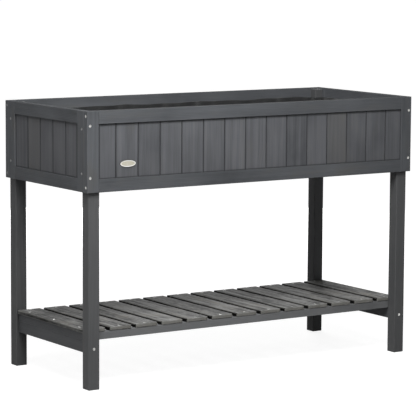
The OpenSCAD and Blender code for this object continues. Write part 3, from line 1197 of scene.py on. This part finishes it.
@dataclass
class Liner:
    """The felt that lines the box: one sheet pressed into it, loose in soft folds.

    It lies clearance off the wood. Bend is the radius where its walls meet its floor, and
    corner that of its upright corners. Fold is how far the folds stand off the walls, and
    folds_round how often their sines go round the loop: from the first number to below the
    second, in steps of the third. Swing is how much of a fold one more sine adds, which
    leans and goes swings_round times round. Hem_wave is how far the hem dips, as two sines
    that go hems_round times round. Sag is how far the floor sinks between the boards, and
    wrinkle how high its wrinkles are, whose three sines turn by wrinkle_turns radians a
    metre. Step is the distance between points along the hem.
    """

    finish: FeltFinish = FeltFinish()
    thickness: float = 1.6 * MM
    clearance: float = 0.4 * MM
    bend: float = 11 * MM
    corner: float = 7 * MM
    fold: float = 8.0 * MM
    folds_round: tuple[int, int, int] = (11, 61, 5)
    swing: float = 0.18
    swings_round: int = 23
    hem_wave: float = 4.0 * MM
    hems_round: tuple[int, int] = (7, 17)
    sag: float = 1.6 * MM
    wrinkle: float = 2.8 * MM
    wrinkle_turns: tuple[float, float, float] = (31.0, 17.0, 23.0)
    step: float = 7.0 * MM
    wall_rows: int = 22
    bend_rows: int = 5
    floor_rows: int = 14
    seed: int = 7

    def outline(self) -> tuple[np.ndarray, float]:
        """The inside of the box seen from above, with the legs' corners cut out.

        One quarter is four straight runs joined by rounded corners; it is turned over
        twice to make the closed loop. The straight runs are sampled evenly, and the
        corners are arcs of the corner radius.

        Returns:
            The loop's points, anticlockwise, and its length.
        """
        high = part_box("liner")[1]
        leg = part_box("leg_rear_right")[0]
        inset = self.thickness + self.clearance
        x, y = high.x - inset, high.y - inset
        leg_x, leg_y = leg.x - inset, leg.y - inset
        turns = np.array([[x, 0.0], [x, leg_y], [leg_x, leg_y], [leg_x, y], [0.0, y]])
        bends = [self.rounded(*turns[first : first + 3]) for first in range(3)]
        quarter = self.resampled(np.concatenate([turns[:1], *bends, turns[-1:]]))
        half = np.concatenate([quarter, (quarter * [-1, 1])[::-1][1:]])
        loop = np.concatenate([half, (half * [1, -1])[::-1][1:-1]])
        length = float(np.linalg.norm(np.roll(loop, -1, 0) - loop, axis=1).sum())
        return loop, length

    def rounded(self, before: np.ndarray, turn: np.ndarray, after: np.ndarray) -> np.ndarray:
        """A corner drawn as a soft curve.

        The point moves along a quadratic curve from one radius before the corner to one
        radius after it, with the corner as its middle control point.

        Args:
            before: The corner before it.
            turn: The corner.
            after: The corner after it.

        Returns:
            The curve's points.
        """
        a = turn + self.corner * (before - turn) / np.linalg.norm(before - turn)
        b = turn + self.corner * (after - turn) / np.linalg.norm(after - turn)
        t = np.linspace(0.0, 1.0, 7)[:, None]
        return (1 - t) ** 2 * a + 2 * t * (1 - t) * turn + t**2 * b

    def resampled(self, path: np.ndarray) -> np.ndarray:
        """The same path with its points one step apart.

        Args:
            path: Points along it.

        Returns:
            The new points, evenly spaced by length.
        """
        run = np.concatenate([[0.0], np.cumsum(np.linalg.norm(np.diff(path, axis=0), axis=1))])
        at = np.linspace(0.0, run[-1], max(8, round(run[-1] / self.step)))
        return np.stack([np.interp(at, run, path[:, i]) for i in (0, 1)], axis=1)

    def folds(self, turns: np.ndarray) -> np.ndarray:
        """How far the felt stands off the wood round the loop, from 0 to 1.

        A sum of sines that close round the loop, with chance phases, is raised until its
        lowest point is 0, and squared so that it lies flat for long and folds sharply.

        Args:
            turns: Places round the loop, as shares of its length.

        Returns:
            The distance at each place.
        """
        chance = np.random.default_rng(self.seed)
        waves = np.arange(*self.folds_round)
        phases = chance.uniform(0.0, math.tau, len(waves))
        sizes = chance.uniform(0.4, 1.0, len(waves)) / np.sqrt(waves / waves[0])
        total = (np.sin(math.tau * turns[:, None] * waves + phases) * sizes).sum(axis=1)
        return ((total - total.min()) / np.ptp(total)) ** 2

    def build(self) -> bpy.types.Object:
        """Makes the felt.

        Row by row the loop is lowered from the hem down the wall, bent through a quarter
        circle, and drawn in over the floor to the middle line of the box: a point at share
        s of the way in is c + (1 - s)(p - c), where p is its place on the loop and c the
        nearest point of the middle line. The wall rows are pushed in by the folds, and
        more so near the hem; the floor rows sag between the floor boards.

        Returns:
            The object.
        """
        loop, length = self.outline()
        count = len(loop)
        turns = np.arange(count) / count
        low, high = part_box("liner")
        base = low.z + self.thickness + self.clearance
        reach = float(loop[:, 1].max())
        middle = np.stack([np.clip(loop[:, 0], low.x + reach, high.x - reach), np.zeros(count)], axis=1)
        height = high.z - base

        drop = np.linspace(0.0, 1.0, self.wall_rows)
        wall_z = high.z - drop * (height - self.bend)
        angle = np.linspace(0.0, math.pi / 2, self.bend_rows + 1)[1:]
        bend_z = base + self.bend * (1 - np.sin(angle))
        bend_in = self.bend * (1 - np.cos(angle)) / reach
        floor_in = np.linspace(bend_in[-1], 1.0, self.floor_rows + 1)[1:]
        z = np.concatenate([wall_z, bend_z, np.full(self.floor_rows, base)])
        share = np.concatenate([np.zeros(self.wall_rows), bend_in, floor_in])

        stand = self.folds(turns)
        loose = np.clip(1.0 - (high.z - z) / height, 0.0, 1.0) ** 0.7
        swing = np.sin(math.tau * turns * self.swings_round + 4.0 * (high.z - z)[:, None] / height)
        push = self.fold * loose[:, None] * (stand + self.swing * (1 + swing)) / reach
        drawn = share[:, None] + push * (1 - share[:, None])
        plan = middle + (1 - drawn)[..., None] * (loop - middle)

        slow, quick = (math.tau * turns * times for times in self.hems_round)
        hem = self.hem_wave * (np.sin(slow + 1.0) * np.sin(quick) - 1.0) / 2
        lift = z[:, None] + hem * loose[:, None] ** 3
        lift = lift + self.floor_relief(plan, share)
        points = np.concatenate([plan, lift[..., None]], axis=-1)
        faces = grid_faces(len(z), count)
        felt = make_mesh("felt_liner", points, faces, self.finish.build(), 0.05 * MM, 60.0)
        self.thicken(felt)
        self.cut_out(felt, length, height)
        return felt

    def floor_relief(self, plan: np.ndarray, share: np.ndarray) -> np.ndarray:
        """Heights of the felt's floor.

        The dip is a parabola across each gap between two boards. The wrinkles are a sine
        across the bed, bent by a second one and faded by a third along it. Both fade in
        from the walls.

        Args:
            plan: The points seen from above.
            share: For each row of points, how far it is drawn in from the walls.

        Returns:
            The height of each point over the boards.
        """
        x, y = plan[..., 0], plan[..., 1]
        first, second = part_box("floor_board_1")[0].x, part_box("floor_board_2")[0].x
        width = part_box("floor_board_2")[1].x - second
        across = np.mod(x - first, second - first)
        gap = second - first - width
        dip = np.clip((across - width) * (second - first - across) / (gap / 2) ** 2, 0.0, 1.0)
        across_bed, bent, faded = self.wrinkle_turns
        raised = 0.5 + 0.5 * np.sin(across_bed * x + 6 * np.sin(bent * y)) * np.sin(faded * y)
        flat = np.clip((share - share[share > 0][0]) * 6, 0.0, 1.0)[:, None]
        return flat * (self.wrinkle * raised - self.sag * dip)

    def thicken(self, felt: bpy.types.Object) -> None:
        """Gives the felt its thickness, on the side of the wood.

        Args:
            felt: The felt's inner surface.
        """
        wall = felt.modifiers.new("thickness", "SOLIDIFY")
        wall.thickness = self.thickness
        wall.offset = -1.0

    def cut_out(self, felt: bpy.types.Object, length: float, height: float) -> None:
        """Says that the felt is a sheet, cut to the floor's size and a wall's height all round.

        Args:
            felt: The felt.
            length: The length of its hem.
            height: The height of its walls.
        """
        declare(felt, "liner")
        low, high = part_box("liner")
        flat = (high.x - low.x + 2 * height, high.y - low.y + 2 * height)
        LOG.info("felt_liner: cut to %.3f by %.3f m, hem %.2f m round", *flat, length)


@dataclass(frozen=True)
class ScrewForm:
    """A countersunk wood screw with a cross recess.

    Head and shank are diameters, rim the height of the head's side, and sink where the
    countersink ends. The head is crowned, and sunk under the wood's face. Recess is the
    cross's depth, slot half its arms' width, wall the width of their sloping sides, and arm
    how far they reach. Rings are the places of the head's rings of points, as shares of its
    radius.
    """

    head: float = 8.0 * MM
    rim: float = 0.5 * MM
    sink: float = 2.6 * MM
    shank: float = 4.0 * MM
    crown: float = 0.60 * MM
    sunk: float = 0.45 * MM
    recess: float = 1.5 * MM
    slot: float = 0.75 * MM
    wall: float = 0.3 * MM
    arm: float = 2.5 * MM
    rings: tuple[float, ...] = (0, 0.12, 0.22, 0.33, 0.44, 0.55, 0.66, 0.8, 0.93, 1.0)
    sides: int = 32

    def points(self, length: float, turn: float) -> np.ndarray:
        """The screw's surface, with its head's rim at height 0 and its point below.

        Rings run from the middle of the head out to its rim, down its side, along the
        countersink to the shank and to the point. On the head, the height is a low crown
        less the recess: with s the smaller and t the larger distance from the cross's two
        centre lines, the recess is deepest in the middle, shallows towards the arms' ends
        as t grows, and ends where s passes half a slot's width.

        Args:
            length: From the head's face to the point.
            turn: How far the cross is turned.

        Returns:
            Rings of points.
        """
        r = np.array(self.rings) * self.head / 2
        side = np.array([[self.head / 2, -self.rim], [self.shank / 2, -self.sink],
                         [self.shank / 2, self.shank - length], [0.0, -length]])
        angle = np.arange(self.sides) * math.tau / self.sides
        x, y = np.abs(r[:, None] * np.cos(angle)), np.abs(r[:, None] * np.sin(angle))
        s, t = np.minimum(x, y), np.maximum(x, y)
        deep = np.clip(1.15 - t / self.arm, 0.0, 1.0)
        wide = np.clip((self.slot - s) / self.wall, 0.0, 1.0)
        cut = self.recess * deep * wide
        top = self.crown * (1 - (r[:, None] / (self.head / 2)) ** 2) - cut - self.sunk
        radius = np.concatenate([r, side[:, 0]])[:, None] * np.ones(self.sides)
        height = np.concatenate([top, side[:, 1:] * np.ones(self.sides)])
        return np.stack([radius * np.cos(angle + turn), radius * np.sin(angle + turn), height], axis=-1)


@dataclass
class Screws:
    """All the screws, in the groups of the CAD nodes that they stand for.

    A name with in is a distance from the end of the piece that a screw goes through, and
    one with bite is how deep it goes into the next piece.
    """

    form: ScrewForm = ScrewForm()
    finish: ZincFinish = ZincFinish()
    # Painted shade on the heads in the bed's end faces, and on those in its rear half.
    painted: ZincFinish = ZincFinish("end_shaded_zinc", ends=0.8)
    rear_shaded: ZincFinish = ZincFinish("rear_shaded_zinc", rear=0.9)
    end_in: float = 14 * MM
    end_bite: float = 24 * MM
    corner_in: float = 40 * MM
    leg_in: float = 50 * MM
    panel_bite: float = 20 * MM
    rail_up: float = 15 * MM
    rail_bite: float = 27 * MM
    slat_bite: float = 17 * MM
    side_in: float = 46 * MM
    ledger_count: int = 5
    ledger_in: float = 60 * MM
    ledger_bite: float = 12 * MM
    seed: int = 11

    def __post_init__(self) -> None:
        """Reads the sizes that the screws share from the frame."""
        self.stile = corners(*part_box("front_right_stile"))
        self.leg = corners(*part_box("leg_rear_right"))
        self.half = np.array([self.stile[1][0], -self.stile[0][1]])
        self.wall = float(self.stile[1][1] - self.stile[0][1])
        self.stile_width = float(self.stile[1][0] - self.stile[0][0])
        self.low, self.high = float(self.stile[0][2]), float(self.stile[1][2])
        self.leg_mid = self.leg.mean(axis=0)
        self.chance = np.random.default_rng(self.seed)

    def group(self, node: str, heads: np.ndarray, aims: np.ndarray, length: float) -> None:
        """Makes the screws of one length and adds them to their node's piece.

        Args:
            node: The CAD node that they stand for.
            heads: The middles of the heads' faces.
            aims: Unit vectors from the heads towards the points.
            length: The screws' length.
        """
        up = -aims
        side = np.cross(up, np.where(np.abs(up[:, 2:]) > 0.5, [[1.0, 0, 0]], [[0, 0, 1.0]]))
        other = np.cross(up, side)
        turns = self.chance.uniform(0.0, math.tau, len(heads))
        local = np.stack([self.form.points(length, turn) for turn in turns])
        placed = (
            local[..., 0:1] * side[:, None, None] + local[..., 1:2] * other[:, None, None]
            + local[..., 2:3] * up[:, None, None] + heads[:, None, None]
        )
        self.parts.setdefault(node, []).append(placed)

    def mirrored(self, point: tuple, aim: tuple) -> tuple[np.ndarray, np.ndarray]:
        """A point and an aim, repeated at the four corners of the bed by turning their signs."""
        signs = np.array([[-1, -1, 1], [1, -1, 1], [-1, 1, 1], [1, 1, 1]], float)
        return signs * point, signs * aim

    def panels(self) -> None:
        """The panels' screws: through the stiles' edges, at the box's corners and into the legs."""
        x, y = self.half
        inward, mid_x, mid_y = y - self.wall, x - self.wall / 2, y - self.wall / 2
        through_stile, through_wall = self.stile_width + self.end_bite, self.wall + self.panel_bite
        leg_y = (inward + self.leg[0][1]) / 2
        in_x, in_y = (-1, 0, 0), (0, -1, 0)
        for node, length, level, places in (
            ("stile_end_screws", through_stile, self.end_in, ((x, mid_y, in_x), (mid_x, inward, in_y))),
            ("panel_screws", through_wall, self.corner_in, ((mid_x, y, in_y),)),
            ("panel_screws", through_wall, self.leg_in, ((x, leg_y, in_x),)),
        ):
            for z in (self.low + level, self.high - level):
                for across, away, aim in places:
                    self.group(node, *self.mirrored((across, away, z), aim), length)

    def shelf(self) -> None:
        """The screws through the legs into the side rails, and down through the slats."""
        rail = corners(*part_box("shelf_right_rail"))
        leg_side = float(self.leg[1][1] - self.leg[0][1])
        place = (self.leg_mid[0], self.leg[1][1], rail[0][2] + self.rail_up)
        self.group("shelf_rail_screws", *self.mirrored(place, (0, -1, 0)), leg_side + self.rail_bite)
        slats = np.array([corners(*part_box(f"shelf_slat_{n}")) for n in range(1, Shelf.slats + 1)])
        batten = corners(*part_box("shelf_rear_batten"))
        top, end = float(slats[0, 1, 2]), float(slats[0, 1, 1])
        row_y, side_x, side_y = float(batten[:, 1].mean()), self.leg_mid[0], end - self.side_in
        heads = [[x, y, top] for x in slats[:, :, 0].mean(axis=1) for y in (-row_y, row_y)]
        heads += [[x, y, top] for x in (-side_x, side_x) for y in (-side_y, 0.0, side_y)]
        heads = np.array(heads)
        length = float(slats[0, 1, 2] - slats[0, 0, 2]) + self.slat_bite
        self.group("slat_screws", heads, np.tile([0.0, 0.0, -1.0], (len(heads), 1)), length)

    def ledgers(self) -> None:
        """The screws through the ledgers, from inside the box."""
        for name, sign in (("front_ledger", -1.0), ("rear_ledger", 1.0)):
            box = corners(*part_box(name))
            x = np.linspace(box[0][0] + self.ledger_in, box[1][0] - self.ledger_in, self.ledger_count)
            face = float(box[1][1] if sign < 0 else box[0][1])
            heads = np.stack([x, np.full(len(x), face), np.full(len(x), box[:, 2].mean())], axis=1)
            length = float(box[1][1] - box[0][1]) + self.ledger_bite
            self.group("ledger_screws", heads, np.tile([0.0, sign, 0.0], (len(x), 1)), length)

    def build(self) -> None:
        """Makes one piece a node, each with all its screws."""
        self.parts: dict[str, list[np.ndarray]] = {}
        self.panels()
        self.shelf()
        self.ledgers()
        plain = self.finish.build()
        special = {"panel_screws": self.painted.build(), "stile_end_screws": self.rear_shaded.build()}
        for node, parts in self.parts.items():
            material = special.get(node, plain)
            screws = np.concatenate(parts)
            rings, sides = screws.shape[1:3]
            one = grid_faces(rings, sides)
            starts = np.arange(len(screws))[:, None, None] * rings * sides
            made = make_mesh(f"zinc_{node}", screws, (one + starts).reshape(-1, 4), material, 1e-6, 35.0)
            declare(made, node)


@dataclass
class Badge:
    """A small oval plate, left blank, on the second board of the front panel.

    X and z are the place of its middle. From its edge inwards it has a dark rim, as wide as
    rim, partly the plate's own edge and partly its painted shadow on the board, and a pale
    raised bead up to the distance ring; inside that lies a darker field, a step lower and
    slightly domed.
    """

    x: float = -420.5 * MM
    z: float = 613.5 * MM
    width: float = 52 * MM
    height: float = 21.5 * MM
    thick: float = 1.1 * MM
    rim: float = 1.7 * MM
    ring: float = 3.8 * MM
    bead: float = 0.3 * MM
    dome: float = 0.25 * MM
    step: float = 0.1 * MM
    sides: int = 96
    plate: EnamelFinish = EnamelFinish("pale_enamel", (0.90, 0.90, 0.88), (0.70, 0.69, 0.65), 0.34)
    # The dark rim: partly the plate's edge, partly a painted shadow on the board.
    edge: EnamelFinish = EnamelFinish("rim_and_painted_shadow", (0.06, 0.056, 0.046), (0.04, 0.037, 0.03), 0.42, 0.6)
    field: Colour = (0.60, 0.57, 0.46)

    def rings(self, profile: np.ndarray) -> np.ndarray:
        """Sweeps a profile round the oval.

        Each profile point is an inward distance from the oval's edge and a height over the
        board. Its ring is the oval whose half axes are both smaller by that distance.

        Args:
            profile: Rows of inward distance and height.

        Returns:
            Rings of points on the front board.
        """
        angle = np.arange(self.sides) * math.tau / self.sides
        inward, height = profile[:, :1], profile[:, 1:]
        x = self.x + (self.width / 2 - inward) * np.cos(angle)
        z = self.z + np.maximum(self.height / 2 - inward, 0.0) * np.sin(angle)
        y = self.face - height * np.ones(self.sides)
        return np.stack([x, y, z], axis=-1)

    def build(self) -> list[bpy.types.Object]:
        """Makes the plate and its rim.

        Returns:
            The two objects.
        """
        self.face = float(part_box("front_boards")[0].y)
        share = np.linspace(0.0, 1.0, 9)[:, None]
        inner = self.rim * 0.8
        top = self.thick * 0.72
        low = top - self.step
        ring = np.hstack([inner + share * (self.ring - inner), top + self.bead * np.sin(share * math.pi)])
        share = share[1:]
        field_in = self.ring + share * (self.height / 2 - self.ring)
        blank = np.hstack([field_in, low + self.dome * np.sin(share * math.pi / 2)])
        back = [[self.height / 2, 0.0], [inner, 0.0], [inner, low]]
        plate = self.rings(np.vstack([back, ring, blank]))
        bow = np.linspace(0.0, math.pi, 9)[:, None]
        crown = np.hstack([
            self.rim / 2 * (1 - np.cos(bow)), self.thick * 0.7 + (self.thick * 0.45) * np.sin(bow),
        ])
        rim = self.rings(np.vstack([[[self.rim, 0.0], [0.0, 0.0]], crown, [[self.rim, 0.0]]]))
        oval = (self.x, self.z, self.width / 2 - self.ring, self.height / 2 - self.ring)
        enamel = replace(self.plate, field=self.field, oval=oval)
        made = [
            make_mesh("badge_plate", plate, self.capped(plate), enamel.build()),
            make_mesh("badge_rim", rim, grid_faces(len(rim), self.sides), self.edge.build()),
        ]
        for piece in made:
            declare(piece)
        return made

    def capped(self, rings: np.ndarray) -> np.ndarray:
        """Faces between the rings, and strips that close the narrow first and last ones.

        Args:
            rings: Rings of points.

        Returns:
            An array of four point numbers a face.
        """
        count = len(rings)
        half = np.arange(1, self.sides // 2)
        faces = [grid_faces(count, self.sides)]
        for start, turn in ((0, -1), ((count - 1) * self.sides, 1)):
            a, b = start + half - 1, start + half
            c, d = start + (self.sides - half) % self.sides, start + (self.sides - half + 1) % self.sides
            faces.append(np.stack([a, b, c, d], axis=1)[:, ::turn])
        return np.concatenate(faces)


@dataclass(frozen=True)
class Lamp:
    """A square soft white lamp: its place, its side in metres and its power in watts."""

    name: str
    place: tuple[float, float, float]
    side: float
    power: float


@dataclass
class Studio:
    """A plain pale studio with the camera at the photograph's angle.

    The camera's angles are in degrees and eye is its place. Ambient is the strength of the
    air's light. The floor's glow is dimmed by shadow near the bed, from the first distance
    in shadow_reach on and fully within the second, so that the bed's own shadow shows. All
    lamps look at aim.
    """

    yaw: float = 33.44
    pitch: float = 7.118
    roll: float = 0.326
    focal_px: float = 2213.4
    eye: tuple[float, float, float] = (-3.5186, -5.3107, 1.2366)
    sensor: float = 36.0
    ambient: float = 0.04
    floor_side: float = 120.0
    floor_pale: float = 0.35
    shadow: float = 0.10
    shadow_reach: tuple[float, float] = (2.6, 0.9)
    aim: tuple[float, float, float] = (0.0, 0.0, 0.4)
    lamps: tuple[Lamp, ...] = (
        Lamp("key", (-0.9, -1.4, 2.4), 1.0, 53.5),
        Lamp("side", (-1.7, -1.1, 1.9), 0.9, 8.5),
        Lamp("low", (-0.8, -1.7, 1.7), 0.9, 4.6),
        Lamp("far", (0.4, -2.4, 2.2), 1.2, 2.7),
        Lamp("rear", (0.8, 1.6, 2.0), 1.2, 5.0),
        Lamp("back", (1.8, 3.0, 0.6), 1.4, 75.0),
    )

    def camera(self) -> bpy.types.Object:
        """Makes the camera.

        It looks along Y turned by yaw towards X and tipped down by pitch, and rolls about
        that line. The focal length is in pixels of the photograph's width.

        Returns:
            The camera.
        """
        yaw, pitch, roll = (math.radians(turn) for turn in (self.yaw, self.pitch, self.roll))
        level = math.cos(pitch)
        ahead = Vector((math.sin(yaw) * level, math.cos(yaw) * level, -math.sin(pitch)))
        right = Vector((math.cos(yaw), -math.sin(yaw), 0.0))
        up = right.cross(ahead)
        across = right * math.cos(roll) + up * math.sin(roll)
        upright = up * math.cos(roll) - right * math.sin(roll)
        data = bpy.data.cameras.new("camera")
        data.sensor_width = self.sensor
        data.lens = self.focal_px * self.sensor / PHOTO_SIDE
        data.clip_end = 400.0
        made = new_object("camera", data)
        turn = Matrix((across, upright, -ahead)).transposed().to_4x4()
        made.matrix_world = Matrix.Translation(self.eye) @ turn
        bpy.context.scene.camera = made
        return made

    def light(self, lamp: Lamp) -> None:
        """Hangs one lamp where the camera doesn't see it.

        Args:
            lamp: The lamp.
        """
        data = bpy.data.lights.new(lamp.name, "AREA")
        data.size = lamp.side
        data.energy = lamp.power
        made = new_object(lamp.name, data)
        made.location = lamp.place
        made.rotation_euler = (Vector(self.aim) - Vector(lamp.place)).to_track_quat("-Z", "Y").to_euler()
        made.visible_camera = False

    def world(self) -> None:
        """Even pale air, white where the camera, a reflection or glass looks at it."""
        sky = bpy.data.worlds.new("studio")
        bpy.context.scene.world = sky
        tree = ShaderTree(sky)
        seen = self.looked_at(tree)
        soft, white = (
            tree.shader("ShaderNodeBackground", {"Color": WHITE, "Strength": strength})
            for strength in (self.ambient, 1.0)
        )
        tree.node("ShaderNodeOutputWorld", None, {"Surface": tree.blend(seen, soft, white)})

    def looked_at(self, tree: ShaderTree) -> Value:
        """Which rays see the studio white.

        Args:
            tree: The tree that asks.

        Returns:
            1 for rays from the camera, off gloss and through glass, and 0 for all others.
        """
        path = tree.node("ShaderNodeLightPath").outputs
        seen, glossy, through = (
            Value(tree, path[f"Is {kind} Ray"]) for kind in ("Camera", "Glossy", "Transmission")
        )
        return tree.most(tree.most(seen, glossy), through)

    def ground(self) -> None:
        """A pale floor that shows white but keeps the bed's shadow, and is clear from below."""
        half = self.floor_side / 2
        mesh = bpy.data.meshes.new("studio_floor")
        square = [(-half, -half, 0), (half, -half, 0), (half, half, 0), (-half, half, 0)]
        mesh.from_pydata(square, [], [(0, 1, 2, 3)])
        new_object("studio_floor", mesh)
        material, tree, (x, y, _) = new_material("studio_floor")
        mesh.materials.append(material)
        matt = tree.shader("ShaderNodeBsdfDiffuse", {"Color": (self.floor_pale,) * 3})
        near = tree.ease((x * x + y * y) ** 0.5, *self.shadow_reach)
        glow, dim = (
            tree.shader("ShaderNodeEmission", {"Color": WHITE, "Strength": strength})
            for strength in (1.0, 1.0 - self.shadow)
        )
        lit = tree.shader("ShaderNodeAddShader", {0: matt, 1: tree.blend(near, glow, dim)})
        upper = tree.blend(self.looked_at(tree), matt, lit)
        under = tree.node("ShaderNodeNewGeometry").outputs["Backfacing"]
        both = tree.blend(under, upper, tree.shader("ShaderNodeBsdfTransparent"))
        tree.node("ShaderNodeOutputMaterial", None, {"Surface": both})

    def build(self) -> None:
        """Sets the view, the lamps, the air and the floor."""
        bpy.context.scene.view_settings.view_transform = "Standard"
        self.camera()
        for lamp in self.lamps:
            self.light(lamp)
        self.world()
        self.ground()
        LOG.info("studio is set")


def main() -> None:
    """Builds and dresses the bed, piece by piece, and sets the studio."""
    logging.basicConfig(level=logging.INFO, format="%(message)s")
    for part in (Frames(), Legs(), Shelf(), Floor(), Liner(), Screws(), Badge(), Studio()):
        part.build()


if __name__ == "__main__":
    main()
